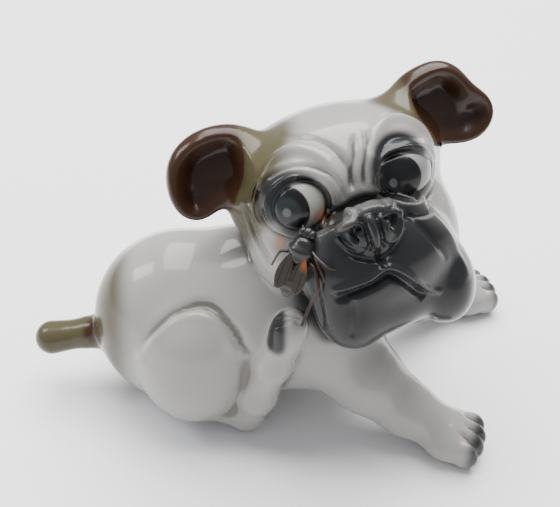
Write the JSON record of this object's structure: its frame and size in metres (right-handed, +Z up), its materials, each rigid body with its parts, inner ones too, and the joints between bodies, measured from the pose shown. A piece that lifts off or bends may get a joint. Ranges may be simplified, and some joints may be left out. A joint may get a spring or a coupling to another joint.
{
  "type": "ceramic dog figurine",
  "caption": "Glazed porcelain puppy figurine that sits and scratches its cheek with a raised hind foot while a fly rests on its muzzle.",
  "frame": {"origin": "under the middle of the figurine's bounding box, on the surface it stands on", "axes": "+X the way the puppy faces, from tail to forepaws; +Y its left side; +Z up"},
  "size_m": [0.2078, 0.1178, 0.139],
  "materials": {
    "white_glaze": "glossy clear glaze over hard-paste porcelain, airbrushed olive brown and grey",
    "brown_glaze": "glossy, dark chocolate brown airbrushed under the glaze",
    "fly_enamel": "glossy black overglaze enamel with brown bands",
    "fly_wing": "thin porcelain, mottled grey brown, glossy",
    "fly_wire": "thin wire painted dark brown"
  },
  "bodies": {
    "root": {"torso": "white_glaze", "head": "white_glaze", "right_ear": "brown_glaze", "left_ear": "brown_glaze", "right_foreleg": "white_glaze", "left_foreleg": "white_glaze", "right_hind_leg": "white_glaze", "left_hind_leg": "white_glaze", "tail": "white_glaze", "fly_thorax": "fly_enamel", "fly_head": "fly_enamel", "fly_abdomen": "fly_enamel", "fly_right_wing": "fly_wing", "fly_left_wing": "fly_wing", "fly_right_front_leg": "fly_wire", "fly_right_middle_leg": "fly_wire", "fly_right_hind_leg": "fly_wire", "fly_left_front_leg": "fly_wire", "fly_left_middle_leg": "fly_wire", "fly_left_hind_leg": "fly_wire"}
  },
  "joints": []
}
